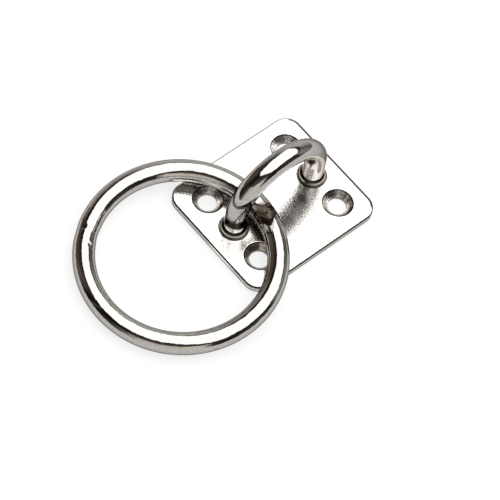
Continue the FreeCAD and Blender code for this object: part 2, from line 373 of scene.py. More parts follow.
def leg_cutter(settings):
    """Hole of one leg, with the groove that its weld fills below."""
    hole = BAR_RADIUS + settings.leg_hole_clearance / 2
    groove = (WELD_HIGH.x - WELD_LOW.x) / 2 + settings.weld_clearance
    over = PLATE_TOP / 2
    return turned_cutter((
        (groove + over, PLATE_LOW.z - over),
        (hole, PLATE_LOW.z + groove - hole),
        (hole, PLATE_TOP + over),
    ))


def on_countersink_rim(radius):
    """Test for the edges round the top of the countersinks."""
    def test(edge):
        middle = (edge.verts[0].co + edge.verts[1].co) / 2
        off = min(math.hypot(middle.x - x, middle.y - y) for x, y in SCREW_PLACES)
        return level_edge(PLATE_TOP)(edge) and abs(off - radius) < 2e-5
    return test


class DECKRING_OT_base_plate(bpy.types.Operator):
    """Model the polished plate with its countersunk holes and its leg holes"""

    bl_idname = "deckring.base_plate"
    bl_label = "Base plate"

    def execute(self, context):
        settings = context.scene.deckring_plate
        start_clean()
        plate = plate_blank(settings)
        screw = screw_cutter(settings)
        for x, y in SCREW_PLACES:
            cut_away(plate, place_copy(screw, x, y))
        leg = leg_cutter(settings)
        for side in SIDES.values():
            cut_away(plate, place_copy(leg, side * FOOT_REACH, 0.0))
        bpy.data.objects.remove(screw)
        bpy.data.objects.remove(leg)
        # The plate is open but not selected, so close_piece leaves its faces shaded flat
        start_clean()
        context.view_layer.objects.active = plate
        bpy.ops.object.mode_set(mode="EDIT")
        pick("edges", on_countersink_rim(settings.countersink_diameter / 2))
        bpy.ops.mesh.bevel(offset=settings.rim_break, segments=2, affect="EDGES")
        close_piece(plate)
        hand_over(plate, "pad", "plate_steel", plate_steel(context.scene), "base_plate")
        return {"FINISHED"}


# Eye and its weld collars

def place_on_eye(point):
    """Section place and way along the eye's bar, from the left leg's end."""
    if point.z > BEND_HEIGHT:
        out = math.hypot(point.x, point.z - BEND_HEIGHT)
        turned = math.atan2(point.z - BEND_HEIGHT, -point.x)
        return (out - FOOT_REACH, point.y, BEND_HEIGHT + turned * FOOT_REACH)
    way = point.z if point.x < 0 else 2 * BEND_HEIGHT + math.pi * FOOT_REACH - point.z
    return (abs(point.x) - FOOT_REACH, point.y, way)


class DECKRING_OT_eye(bpy.types.Operator):
    """Bend the eye from one length of round bar"""

    bl_idname = "deckring.eye"
    bl_label = "Eye"

    def execute(self, context):
        settings = context.scene.deckring_eye
        leg_steps = 12
        start_clean()
        bpy.ops.mesh.primitive_circle_add(
            vertices=settings.bar_sides, radius=BAR_RADIUS, fill_type="NOTHING",
            location=(-FOOT_REACH, 0.0, EYE_LOW.z))
        eye = open_piece("polished_eye")
        step = (BEND_HEIGHT - EYE_LOW.z) / leg_steps
        for _ in range(leg_steps):
            extrude_up(step)
        bpy.ops.mesh.spin(
            steps=settings.bend_steps, angle=math.pi,
            center=(0.0, 0.0, BEND_HEIGHT), axis=(0.0, -1.0, 0.0))
        for _ in range(leg_steps):
            extrude_up(-step)
        for side in SIDES.values():
            pick("edges", lambda edge: level_edge(EYE_LOW.z)(edge) and edge.verts[0].co.x * side > 0)
            bpy.ops.mesh.edge_face_add()
        close_piece(eye, smooth_angle=40.0)
        note_bar_place(eye, place_on_eye)
        metal = bar_steel(context.scene, "polished_bar", 1.9, 0.80, leg_shade=1.0, contact_shade=0.0)
        hand_over(eye, "pad", "bar_steel", metal, "eye_bow")
        return {"FINISHED"}


def collar_profile(settings, clearance):
    """(radius, height) pairs from the collar's foot over its shoulder and down along the leg."""
    outer = (COLLAR_HIGH.x - COLLAR_LOW.x) / 2
    inner = BAR_RADIUS + clearance
    shoulder = settings.collar_round
    hollow = outer - shoulder - inner
    steps = 6
    turns = [math.radians(90) * number / steps for number in range(steps + 1)]
    profile = [(outer, COLLAR_LOW.z)]
    for turn in turns:
        profile.append((outer - shoulder + shoulder * math.cos(turn),
                        COLLAR_LOW.z + settings.collar_wall + shoulder * math.sin(turn)))
    for turn in turns[1:]:
        profile.append((outer - shoulder - hollow * math.sin(turn),
                        COLLAR_HIGH.z - hollow * math.cos(turn)))
    return profile + [(profile[-1][0], COLLAR_LOW.z)]


class DECKRING_OT_weld_collars(bpy.types.Operator):
    """Turn the polished weld collar round each leg of the eye"""

    bl_idname = "deckring.weld_collars"
    bl_label = "Weld collars"

    def execute(self, context):
        material = weld_steel(context.scene)
        clearance = context.scene.deckring_plate.weld_clearance
        profile = collar_profile(context.scene.deckring_eye, clearance)
        for name, side in SIDES.items():
            collar = turned_piece("weld_collar_" + name, profile, "NOTHING", side * FOOT_REACH)
            pick("edges", level_edge(COLLAR_LOW.z))
            bpy.ops.mesh.bridge_edge_loops()
            close_piece(collar)
            hand_over(collar, "pad", "weld_steel", material, "foot_collar_" + name)
        return {"FINISHED"}


class DECKRING_OT_back_welds(bpy.types.Operator):
    """Finish the welds that are ground flush with the plate's underside"""

    bl_idname = "deckring.back_welds"
    bl_label = "Back welds"

    def execute(self, context):
        material = weld_steel(context.scene)
        for name in SIDES:
            solid = frame["nodes"]["back_weld_" + name]
            solid.data.materials.clear()
            solid.data.materials.append(material)
        return {"FINISHED"}


# Ring

# Pits left in the butt weld: metres along the bar, degrees round the bar, radius in metres
PITS = ((-0.0010, 72, 0.0009), (0.0042, 122, 0.0006))


def turned_from_weld(point, angle):
    """Angle of a point round the ring, from the butt weld, between 0 and a full turn."""
    return (math.atan2(point.y, point.x) - angle) % (2 * math.pi)


def grind_weld(settings):
    """Thin the bar a little along the butt weld, in steps towards its middle."""
    steps = 5
    half_angle = settings.weld_length / 2 / RING_REACH
    for number in range(steps):
        reach = half_angle * (1 - number / steps)
        pick("verts", lambda vert: abs(math.remainder(
            math.atan2(vert.co.y, vert.co.x) - settings.weld_angle, 2 * math.pi)) < reach)
        bpy.ops.transform.shrink_fatten(value=-settings.weld_loss / steps)


def dent(centre, radius, depth):
    """Press a small round hollow into the open piece, in steps towards its middle."""
    steps = 3
    for number in range(steps):
        reach = radius * (1 - number / (2 * steps))
        pick("verts", lambda vert: (vert.co - centre).length < reach)
        bpy.ops.transform.shrink_fatten(value=-depth / steps)


def on_bar(settings, way, turn):
    """Point on the ring's surface: a way along from the weld and a turn round the bar."""
    angle = settings.weld_angle + way / RING_REACH
    reach = RING_REACH + BAR_RADIUS * math.cos(turn)
    return Vector((reach * math.cos(angle), reach * math.sin(angle), BAR_RADIUS * math.sin(turn)))


class DECKRING_OT_ring(bpy.types.Operator):
    """Turn the loose ring, dress its butt weld and lay it through the eye"""

    bl_idname = "deckring.ring"
    bl_label = "Ring"

    def execute(self, context):
        settings = context.scene.deckring_ring
        start_clean()
        bpy.ops.mesh.primitive_circle_add(
            vertices=settings.bar_sides, radius=BAR_RADIUS, fill_type="NOTHING",
            location=(RING_REACH, 0.0, 0.0), rotation=(math.pi / 2, 0.0, 0.0))
        ring = open_piece("polished_ring")
        bpy.ops.mesh.spin(
            steps=settings.turn_steps, angle=2 * math.pi,
            center=(0.0, 0.0, 0.0), axis=(0.0, 0.0, 1.0))
        bpy.ops.mesh.select_all(action="SELECT")
        bpy.ops.mesh.remove_doubles(threshold=1e-6)
        bpy.ops.mesh.normals_make_consistent(inside=False)
        grind_weld(settings)
        for way, turn, radius in PITS:
            dent(on_bar(settings, way, math.radians(turn)), radius, settings.nick_depth)
        close_piece(ring, smooth_angle=60.0)
        note_bar_place(ring, lambda point: (
            math.hypot(point.x, point.y) - RING_REACH, point.z,
            turned_from_weld(point, settings.weld_angle) * RING_REACH))
        ring.rotation_euler = Euler((0.0, -RING_TILT, 0.0))
        ring.location = RING_CENTRE
        choose(ring)
        settle()
        metal = bar_steel(context.scene, "ring_bar", 0.5, 0.5, leg_shade=0.0, contact_shade=1.0)
        hand_over(ring, "loose_ring", "bar_steel", metal, "ring")
        return {"FINISHED"}


# Shader building

# Fineness of each texture, in noise cells for each metre
FINENESS = {
    "waves": 420.0,
    "grain": 2900.0,
    "haze": 160.0,
    "speckle": 3100.0,
    "mottle": 1300.0,
    "turning": 3000.0,
    "chatter": 2400.0,
    "drawn": 450.0,
    "lines": 1700.0,
    "heat edge": 700.0,
    "rub edge": 600.0,
}
# Tint of the metal where it is seen at a slant
EDGE_TINT = (0.60, 0.57, 0.54)
BAR_EDGE_TINT = (0.35, 0.33, 0.31)
# Countersinks, in metres in from the rim: soft rim, and painted shade as a dark rim and as a dark line
# on the near side
CONE_SOFT_RIM = 0.00008
CONE_RIM_SHADE = (0.0002, 0.0005)
CONE_NEAR_SHADE = (0.0011, 0.0008)
# Direction of the near side
CONE_NEAR_SIDE = (-0.5, -0.866, 0.0)
# Countersinks, in metres out from the bore: painted highlight on the lip, and painted shade beside the
# bore
CONE_LIP_HIGHLIGHT = (0.00032, 0.00022)
CONE_BORE_SHADE = (0.00008, 0.00012)
# Height over the underside from which the countersinks' finish starts
CONE_ABOVE_BACK = (0.0001, 0.0003)
# Painted shade in each countersink, a wedge on one side: azimuth and its two sides from there in
# radians, tones near and far
SHADE_AZIMUTH = math.radians(100)
SHADE_SHARP_SIDE = (-0.93, -0.85)
SHADE_SOFT_SIDE = (1.3, 0.5)
SHADE_TONES = (0.42, 0.85)
# Patch of painted highlight by the left foot: its middle, and where it ends and is full
HIGHLIGHT_PLACE = (-0.0180, -0.0045, PLATE_TOP)
HIGHLIGHT_RADII = (0.0075, 0.0045)
# Painted shade round the collars' foot on the plate: where it ends and is full, past the collar
COLLAR_SHADE_EDGE = (0.00045, 0.00025)
# Patch of painted shade on the ring where the eye meets it: its middle, and where it ends and is full
CONTACT_SHADE_PLACE = (-0.0072, -0.0042, 0.0091)
CONTACT_SHADE_RADII = (0.0037, 0.0022)
# Change from the right side to the left, in X
LEFT_SIDE = (0.002, -0.002)
# Band of painted shade on the left leg: its lower and upper edge over the plate's top
LEG_SHADE_FOOT = (0.0028, 0.0042)
LEG_SHADE_TOP = (0.0086, 0.0066)
# Crest of the collars, kept out of the painted shade: its lower and upper edge over the upright wall
CREST_FOOT = (0.00018, 0.00024)
CREST_TOP = (0.00036, 0.00030)


class Graph:
    """Node tree with short calls to add and join nodes."""

    def __init__(self, tree):
        self.tree = tree
        tree.nodes.clear()

    def add(self, kind, *inputs, **settings):
        """Add a node, set its properties and put values on its inputs in order."""
        node = self.tree.nodes.new(kind)
        for key, value in settings.items():
            setattr(node, key, value)
        for source, socket in zip(inputs, node.inputs):
            self.put(source, socket)
        return node

    def put(self, source, socket):
        """Join a socket to a socket, or write a plain value on it."""
        if isinstance(source, bpy.types.NodeSocket):
            self.tree.links.new(source, socket)
        else:
            socket.default_value = source

    def calc(self, operation, *inputs):
        """Math node; returns its value."""
        return self.add("ShaderNodeMath", *inputs, operation=operation).outputs[0]

    def times(self, first, *others):
        """Product of several values."""
        for other in others:
            first = self.calc("MULTIPLY", first, other)
        return first

    def hypot(self, x, y):
        """Length of the flat vector (x, y)."""
        return self.calc("SQRT", self.calc("ADD", self.times(x, x), self.times(y, y)))

    def vector(self, operation, *inputs):
        """Vector math node; returns its vector, or its value where it measures one."""
        node = self.add("ShaderNodeVectorMath", *inputs, operation=operation)
        measures = operation in {"LENGTH", "DISTANCE", "DOT_PRODUCT"}
        return node.outputs["Value" if measures else "Vector"]

    def split(self, vector):
        """X, Y and Z of a vector."""
        return self.add("ShaderNodeSeparateXYZ", vector).outputs

    def span(self, value, low, high, to_low=0.0, to_high=1.0, smooth=True):
        """Map a value from one range to another, clamped."""
        node = self.add("ShaderNodeMapRange", value, low, high, to_low, to_high,
                        interpolation_type="SMOOTHSTEP" if smooth else "LINEAR")
        return node.outputs[0]

    def blend(self, factor, first, second):
        """Mix two colours by a factor."""
        node = self.add("ShaderNodeMix", data_type="RGBA")
        self.put(factor, node.inputs["Factor"])
        self.put(first, node.inputs[6])
        self.put(second, node.inputs[7])
        return node.outputs[2]

    def noise(self, vector, texture, detail=3.0, roughness=0.5):
        """Smooth noise between 0 and 1, as fine as its texture."""
        node = self.add("ShaderNodeTexNoise", vector)
        node.inputs["Scale"].default_value = FINENESS[texture]
        node.inputs["Detail"].default_value = detail
        node.inputs["Roughness"].default_value = roughness
        return node.outputs["Fac"]

    def drawn_noise(self, vector, texture, share):
        """Noise pulled out along the bar: share is its fineness along to that across."""
        node = self.add("ShaderNodeMapping", vector)
        node.inputs["Scale"].default_value = (1.0, 1.0, share)
        return self.noise(node.outputs[0], texture, detail=1.0)


def new_group(name, inputs, outputs):
    """Node group; inputs without a value are vectors. Returns its graph, input and output nodes."""
    tree = bpy.data.node_groups.new(name, "ShaderNodeTree")
    graph = Graph(tree)
    for label, value in inputs.items():
        kind = "NodeSocketVector" if value is None else "NodeSocketFloat"
        socket = tree.interface.new_socket(name=label, in_out="INPUT", socket_type=kind)
        if value is not None:
            socket.default_value = value
    for label in outputs:
        tree.interface.new_socket(name=label, in_out="OUTPUT", socket_type="NodeSocketFloat")
    return graph, graph.add("NodeGroupInput"), graph.add("NodeGroupOutput")


def polish_group():
    """Buffed metal: fine haze in the gloss, long soft waves and grain in the height."""
    name = "Polished metal"
    if name in bpy.data.node_groups:
        return bpy.data.node_groups[name]
    graph, given, result = new_group(
        name,
        {"Place": None, "Waves": 0.002, "Grain": 0.0005, "Low gloss": 0.05, "High gloss": 0.12},
        ("Height", "Roughness", "Tone"))
    place = given.outputs["Place"]
    waves = graph.noise(place, "waves", detail=2.0)
    grain = graph.noise(place, "grain", detail=1.0)
    haze = graph.noise(place, "haze", detail=5.0, roughness=0.6)
    graph.put(graph.calc("ADD", graph.times(waves, given.outputs["Waves"]),
                         graph.times(grain, given.outputs["Grain"])), result.inputs["Height"])
    graph.put(graph.span(haze, 0.35, 0.7, given.outputs["Low gloss"], given.outputs["High gloss"]),
              result.inputs["Roughness"])
    graph.put(haze, result.inputs["Tone"])
    return graph.tree


def new_material(name, edge_tint):
    """Metal material; returns it with its graph, its shader and its object place."""
    material = bpy.data.materials.new(name)
    material.use_nodes = True
    graph = Graph(material.node_tree)
    shader = graph.add("ShaderNodeBsdfPrincipled")
    graph.add("ShaderNodeOutputMaterial", shader.outputs[0])
    shader.inputs["Metallic"].default_value = 1.0
    shader.inputs["Specular Tint"].default_value = edge_tint + (1.0,)
    return material, graph, shader, graph.add("ShaderNodeTexCoord").outputs["Object"]


def place_group(graph, group, place, **values):
    """Place a node group in a graph with its own values."""
    node = graph.add("ShaderNodeGroup", node_tree=group)
    graph.put(place, node.inputs["Place"])
    for label, value in values.items():
        graph.put(value, node.inputs[label.replace("_", " ")])
    return node


def raise_bump(graph, shader, height):
    """Feed a height in millimetres to the shader as bump."""
    bump = graph.add("ShaderNodeBump")
    bump.inputs["Distance"].default_value = 0.001
    graph.put(height, bump.inputs["Height"])
    graph.put(bump.outputs[0], shader.inputs["Normal"])


def tinted(colour, factor):
    """A colour made darker or lighter by a factor, with full alpha."""
    return tuple(min(1.0, channel * factor) for channel in colour) + (1.0,)


def painted_reflection(graph, seen, reflected):
    """One colour where the eye meets the metal, and a painted reflection tone where other polished
    metal shows it.
    """
    rays = graph.add("ShaderNodeLightPath").outputs
    return graph.blend(rays["Is Glossy Ray"], seen, reflected)


def turned_group():
    """Countersunk screw holes: which points lie in a cone, its marks of turning and its tone, with
    painted shade and a painted highlight.
    """
    graph, given, result = new_group(
        "Turned cone",
        {"Place": None, "Half spacing": None, "Radius": 0.004, "Hole radius": 0.0026, "Marks": 0.002},
        ("Mask", "Height", "Tone"))
    place, outer = given.outputs["Place"], given.outputs["Radius"]
    off = graph.vector("SUBTRACT", graph.vector("ABSOLUTE", place), given.outputs["Half spacing"])
    flat = graph.vector("MULTIPLY", off, (1.0, 1.0, 0.0))
    radius = graph.vector("LENGTH", flat)
    way_out = graph.add("ShaderNodeCombineXYZ", radius).outputs[0]
    rings = graph.noise(way_out, "turning", roughness=0.7)
    mask = graph.span(radius, outer, graph.calc("SUBTRACT", outer, CONE_SOFT_RIM), smooth=False)
    graph.put(mask, result.inputs["Mask"])
    graph.put(graph.times(rings, given.outputs["Marks"], mask), result.inputs["Height"])

    # Painted shade: a dark wedge on one side of each cone, lighter in the hole at +X +Y
    sign = graph.vector("SIGN", place)
    facing = graph.vector("MULTIPLY", flat, sign)
    turned = graph.add("ShaderNodeVectorRotate", facing, rotation_type="Z_AXIS")
    turned.inputs["Angle"].default_value = -SHADE_AZIMUTH
    turned_x, turned_y, _ = graph.split(turned.outputs[0])
    angle = graph.calc("ARCTAN2", turned_y, turned_x)
    shaded_wedge = graph.times(graph.span(angle, *SHADE_SHARP_SIDE), graph.span(angle, *SHADE_SOFT_SIDE))
    corner_x, corner_y, _ = graph.split(sign)
    wedge_shade = graph.span(graph.calc("ADD", corner_x, corner_y), 0.0, 2.0, *SHADE_TONES, smooth=False)
    chatter = graph.noise(facing, "chatter", detail=2.0)
    tone = graph.span(graph.calc("ADD", rings, chatter), 0.75, 1.25, 0.25, 0.95)
    tone = graph.times(tone, graph.span(shaded_wedge, 0.0, 1.0, 1.0, wedge_shade, smooth=False))
    # Painted shade at the rim and along the near side, a painted highlight on the lip, and painted
    # shade beside the bore
    rim = graph.calc("SUBTRACT", outer, radius)
    tone = graph.times(tone, graph.span(rim, *CONE_RIM_SHADE, 0.12, 1.0))
    toward = graph.calc("DIVIDE", graph.vector("DOT_PRODUCT", facing, CONE_NEAR_SIDE), radius)
    line = graph.times(graph.span(toward, 0.05, 0.45), graph.span(rim, *CONE_NEAR_SHADE))
    tone = graph.times(tone, graph.span(line, 0.0, 1.0, 1.0, 0.03, smooth=False))
    lip = graph.calc("SUBTRACT", radius, given.outputs["Hole radius"])
    tone = graph.calc("MAXIMUM", tone, graph.span(lip, *CONE_LIP_HIGHLIGHT, 0.0, 0.8))
    tone = graph.calc("MINIMUM", tone, graph.span(lip, *CONE_BORE_SHADE, 0.25, 1.0))
    graph.put(tone, result.inputs["Tone"])
    return graph.tree


def edge_group():
    """Rounded rectangle: which points lie on the rolled top edge, its line of painted shade and the
    lower side, which takes painted shadow.
    """
    graph, given, result = new_group(
        "Rolled edge",
        {"Place": None, "Half size": None, "Corner": 0.004, "Edge": 0.0007, "Top": 0.0025},
        ("Rolled", "Dark", "Side"))
    x, y, z = graph.split(given.outputs["Place"])
    half_x, half_y, _ = graph.split(given.outputs["Half size"])
    corner, edge = given.outputs["Corner"], given.outputs["Edge"]
    past = [graph.calc("SUBTRACT", graph.calc("ABSOLUTE", value), graph.calc("SUBTRACT", half, corner))
            for value, half in ((x, half_x), (y, half_y))]
    round_off = graph.hypot(*[graph.calc("MAXIMUM", value, 0.0) for value in past])
    flat_off = graph.calc("MINIMUM", graph.calc("MAXIMUM", *past), 0.0)
    inside = graph.calc("SUBTRACT", corner, graph.calc("ADD", round_off, flat_off))
    # Way in from the outline and way down from the top, in radii of the edge
    over = graph.calc("DIVIDE", inside, edge)
    drop = graph.calc("DIVIDE", graph.calc("SUBTRACT", given.outputs["Top"], z), edge)
    graph.put(graph.span(over, 1.02, 0.94), result.inputs["Rolled"])
    # Painted shade along the rolled edge, wider on the +X side
    far_side = graph.times(graph.span(x, 0.0, 0.001),
                           graph.span(graph.calc("SUBTRACT", *past), -0.001, 0.001))
    whole = graph.times(far_side, graph.span(over, 1.75, 1.35))
    foot = graph.calc("MAXIMUM", graph.span(over, 0.50, 0.25), whole)
    graph.put(graph.times(foot, graph.span(drop, 1.6, 1.3)), result.inputs["Dark"])
    # Painted shadow on the lower part of the side, by the floor
    side = graph.times(graph.span(over, 0.5, 0.2), graph.span(drop, 1.3, 1.6))
    graph.put(graph.times(side, graph.span(drop, 3.2, 4.2)), result.inputs["Side"])
    return graph.tree


def plate_steel(scene):
    """Sheet polished to a soft mirror with fine grain, and turned cones at the screws."""
    settings, finish = scene.deckring_plate, scene.deckring_finish
    colour, painted_dark = finish.plate_colour, tinted(finish.shade_colour, 1.0)
    material, graph, shader, place = new_material("polished_sheet", EDGE_TINT)
    polish = place_group(graph, polish_group(), place, Waves=0.0015, Grain=0.021,
                         Low_gloss=0.13, High_gloss=0.17)
    half_size = (PLATE_HIGH - PLATE_LOW) / 2
    edge = place_group(graph, edge_group(), place, Half_size=(half_size.x, half_size.y, 0.0),
                       Corner=settings.corner_radius, Edge=settings.edge_round, Top=PLATE_TOP)
    cone = place_group(graph, turned_group(), place, Half_spacing=(SCREW_X, SCREW_Y, 0.0),
                       Radius=settings.countersink_diameter / 2, Hole_radius=SCREW_HOLE,
                       Marks=0.012)
    speckle = graph.span(graph.noise(place, "speckle", detail=1.0), 0.36, 0.64)
    polished = graph.blend(speckle, tinted(colour, 0.78), tinted(colour, 1.30))
    # Painted highlight: the plate is painted much lighter round the left foot
    foot_highlight = graph.span(graph.vector("DISTANCE", place, HIGHLIGHT_PLACE), *HIGHLIGHT_RADII)
    polished = graph.blend(foot_highlight, polished, tinted(colour, 1.70))
    over_back = graph.span(graph.split(place)[2], *[PLATE_LOW.z + rise for rise in CONE_ABOVE_BACK])
    in_cone = graph.times(cone.outputs["Mask"], over_back)
    # In the cones the tone runs from the dark colour of the painted shade to a lighter steel
    turned = graph.blend(cone.outputs["Tone"], painted_dark, tinted(colour, 1.75))
    faces = graph.blend(in_cone, polished, turned)
    # Painted shadow: the lower part of the plate's side is painted darker
    sides = graph.blend(edge.outputs["Side"], faces, tinted(colour, 0.45))
    # Painted shade: a dark ring on the plate round the foot of each collar
    foot_off = graph.vector("DISTANCE", graph.vector("ABSOLUTE", place), (FOOT_REACH, 0.0, PLATE_TOP))
    collar_reach = (COLLAR_HIGH.x - COLLAR_LOW.x) / 2
    collar_foot_shade = graph.span(foot_off, *[collar_reach + past for past in COLLAR_SHADE_EDGE])
    sides = graph.blend(collar_foot_shade, sides, painted_dark)
    # Painted shade: the rolled edge is painted nearly black
    seen = graph.blend(edge.outputs["Dark"], sides, tinted(colour, 0.08))
    # Painted reflection: where other polished metal reflects the sheet, it is painted much lighter
    graph.put(painted_reflection(graph, seen, tinted(colour, 1.85)), shader.inputs["Base Color"])
    gloss = graph.span(in_cone, 0.0, 1.0, polish.outputs["Roughness"], 0.24, smooth=False)
    graph.put(graph.span(edge.outputs["Rolled"], 0.0, 1.0, gloss, 0.07, smooth=False),
              shader.inputs["Roughness"])
    face = graph.calc("SUBTRACT", 1.0, edge.outputs["Rolled"])
    raise_bump(graph, shader, graph.calc("ADD", graph.times(polish.outputs["Height"], face),
                                         graph.times(cone.outputs["Height"], over_back)))
    return material


def bar_steel(scene, name, left_reflection_tone, right_reflection_tone, leg_shade, contact_shade):
    """Drawn round bar polished bright; the reflection tones are the painted tones it takes in other
    polished metal.
    """
    colour = scene.deckring_finish.bar_colour
    material, graph, shader, place = new_material(name, BAR_EDGE_TINT)
    along = graph.add("ShaderNodeAttribute", attribute_name="bar_place").outputs["Vector"]
    polish = place_group(graph, polish_group(), place, Waves=0.0008, Grain=0.0,
                         Low_gloss=0.03, High_gloss=0.06)
    drawn = graph.calc("ADD", graph.times(graph.drawn_noise(along, "drawn", 0.06), 0.003),
                       graph.times(graph.drawn_noise(along, "lines", 0.35), 0.020))
    graph.put(polish.outputs["Roughness"], shader.inputs["Roughness"])
    weight = graph.add("ShaderNodeLayerWeight")
    mottle = graph.span(graph.noise(place, "mottle"), 0.35, 0.65)
    front = graph.blend(mottle, tinted(colour, 0.93), tinted(colour, 1.07))
    # Painted shade: the bar is painted darker where it is seen at a slant
    seen = graph.blend(graph.span(weight.outputs["Facing"], 0.58, 0.92), front, tinted(colour, 0.45))
    x, _, z = graph.split(place)
    left = graph.span(x, *LEFT_SIDE)
    # Painted reflection: tones of the bar where other polished metal shows it, one for each side
    reflection_tone = graph.blend(left, tinted(colour, right_reflection_tone), tinted(colour, left_reflection_tone))
    # Painted shade: a nearly black band low on the left leg
    rise = graph.calc("ADD", graph.calc("SUBTRACT", z, PLATE_TOP),
                      graph.span(graph.noise(place, "heat edge"), 0.3, 0.7, -0.0003, 0.0003))
    shaded_band = graph.times(graph.span(rise, *LEG_SHADE_FOOT), graph.span(rise, *LEG_SHADE_TOP), left, leg_shade)
    seen = graph.blend(shaded_band, seen, tinted(colour, 0.07))
    # Painted shade: a dark patch on the ring where it meets the eye
    shaded_patch_off = graph.calc("ADD", graph.vector("DISTANCE", place, CONTACT_SHADE_PLACE),
                         graph.span(graph.noise(place, "rub edge"), 0.3, 0.7, -0.0006, 0.0006))
    shaded_patch = graph.times(graph.span(shaded_patch_off, *CONTACT_SHADE_RADII), contact_shade)
    seen = graph.blend(shaded_patch, seen, tinted(scene.deckring_finish.shade_colour, 3.0))
    graph.put(painted_reflection(graph, seen, reflection_tone), shader.inputs["Base Color"])
    raise_bump(graph, shader, graph.calc("ADD", drawn, polish.outputs["Height"]))
    return material


def weld_steel(scene):
    """Weld metal, ground and polished a little less evenly."""
    name = "polished_weld"
    if name in bpy.data.materials:
        return bpy.data.materials[name]
    finish = scene.deckring_finish
    material, graph, shader, place = new_material(name, EDGE_TINT)
    polish = place_group(graph, polish_group(), place, Waves=0.004, Grain=0.0016,
                         Low_gloss=0.08, High_gloss=0.18)
    graph.put(polish.outputs["Roughness"], shader.inputs["Roughness"])
    height = graph.split(place)[2]
    rise = graph.calc("SUBTRACT", height, PLATE_TOP + scene.deckring_eye.collar_wall)
    crest = graph.times(graph.span(rise, *CREST_FOOT), graph.span(rise, *CREST_TOP))
    bare = graph.blend(polish.outputs["Tone"], tinted(finish.weld_colour, 0.40),
                       tinted(finish.weld_colour, 0.52))
    painted_dark = graph.blend(polish.outputs["Tone"], tinted(finish.shade_colour, 0.7),
                        tinted(finish.shade_colour, 1.3))
    # Painted shade: the collars are painted dark above the plate, except round their crest
    above = graph.span(height, PLATE_TOP - 0.0001, PLATE_TOP)
    tint = graph.times(above, graph.calc("SUBTRACT", 1.0, crest))
    graph.put(graph.blend(tint, bare, painted_dark), shader.inputs["Base Color"])
    raise_bump(graph, shader, polish.outputs["Height"])
    return material


# Studio

# Soft box overhead: azimuth that each side faces and its reach for each metre of height
LIGHT_SIDES = ((165, 0.63), (-159, 0.60), (-85, 1.15), (10, 1.24), (111, 0.61))
# Dark round of the camera in the soft box, for each metre of height
LENS_RADIUS = 0.065
# Tones of the dark gaps in the walls: near the floor, higher up
DARK_WALL = ((0.020, 0.016, 0.012), (0.012, 0.010, 0.008))
# Walls round the table: azimuth in degrees from +X, tone near the floor, tone higher up
WALLS = (
    (-180, (0.160, 0.150, 0.130), (0.035, 0.028, 0.020)),
    (-172, (0.350, 0.330, 0.290), (0.055, 0.045, 0.034)),
    (-162, (0.950, 0.880, 0.800), (0.110, 0.096, 0.080)),
    (-112, (1.150, 1.050, 0.980), (0.150, 0.130, 0.115)),
    (-103, (0.060, 0.045, 0.035), (0.100, 0.080, 0.065)),
    (-88, (0.025, 0.020, 0.015), (0.050, 0.042, 0.035)),
    (-64, (0.080, 0.064, 0.052), (0.050, 0.043, 0.037)),
    (-48, (0.040, 0.032, 0.026), (0.070, 0.062, 0.056)),
    (-40, (0.400, 0.370, 0.370), (0.300, 0.285, 0.275)),
    (-22, (0.360, 0.360, 0.330), (0.450, 0.430, 0.420)),
    (-8, (0.160, 0.160, 0.110), (0.150, 0.140, 0.125)),
    (4, (0.360, 0.360, 0.330), (0.070, 0.062, 0.055)),
    (14, (0.620, 0.630, 0.580), (0.120, 0.112, 0.105)),
    (27, (0.800, 0.820, 0.760), (0.380, 0.370, 0.355)),
    (52, (0.780, 0.780, 0.740), (0.850, 0.840, 0.820)),
    (61, (0.620, 0.600, 0.570), (0.700, 0.680, 0.650)),
    (66, (0.480, 0.450, 0.420), (0.070, 0.056, 0.045)),
    (86, (0.400, 0.360, 0.320), (0.030, 0.024, 0.018)),
    (97, (0.130, 0.090, 0.065), (0.060, 0.040, 0.026)),
    (118, (0.150, 0.110, 0.085), (0.090, 0.064, 0.046)),
    (126, (0.200, 0.160, 0.130), (0.150, 0.125, 0.105)),
    (136, (0.100, 0.082, 0.066), (0.110, 0.092, 0.078)),
    (143, *DARK_WALL),
    (150, *DARK_WALL),
    (153, (0.150, 0.140, 0.120), (0.120, 0.110, 0.100)),
    (156, *DARK_WALL),
    (172, (0.060, 0.052, 0.042), (0.015, 0.012, 0.010)),
    (180, (0.160, 0.150, 0.130), (0.035, 0.028, 0.020)),
)
# Heights in degrees between which the walls change from the low tone to the high one
WALL_BAND = (26, 33)
# Dark frame round the soft box: how far past the rim it ends and starts to fade, and its colour
FRAME_EDGE = (0.45, 0.30)
FRAME_COLOUR = (0.02, 0.017, 0.014, 1.0)


def wall_ramp(graph, azimuth, tones):
    """Colour ramp round the horizon."""
    ramp = graph.add("ShaderNodeValToRGB", azimuth)
    elements = ramp.color_ramp.elements
    elements.remove(elements[1])
    for number, (degrees, colour) in enumerate(tones):
        place = (degrees + 180) / 360
        element = elements[0] if number == 0 else elements.new(place)
        element.position = place
        element.color = colour + (1.0,)
    return ramp.outputs["Color"]


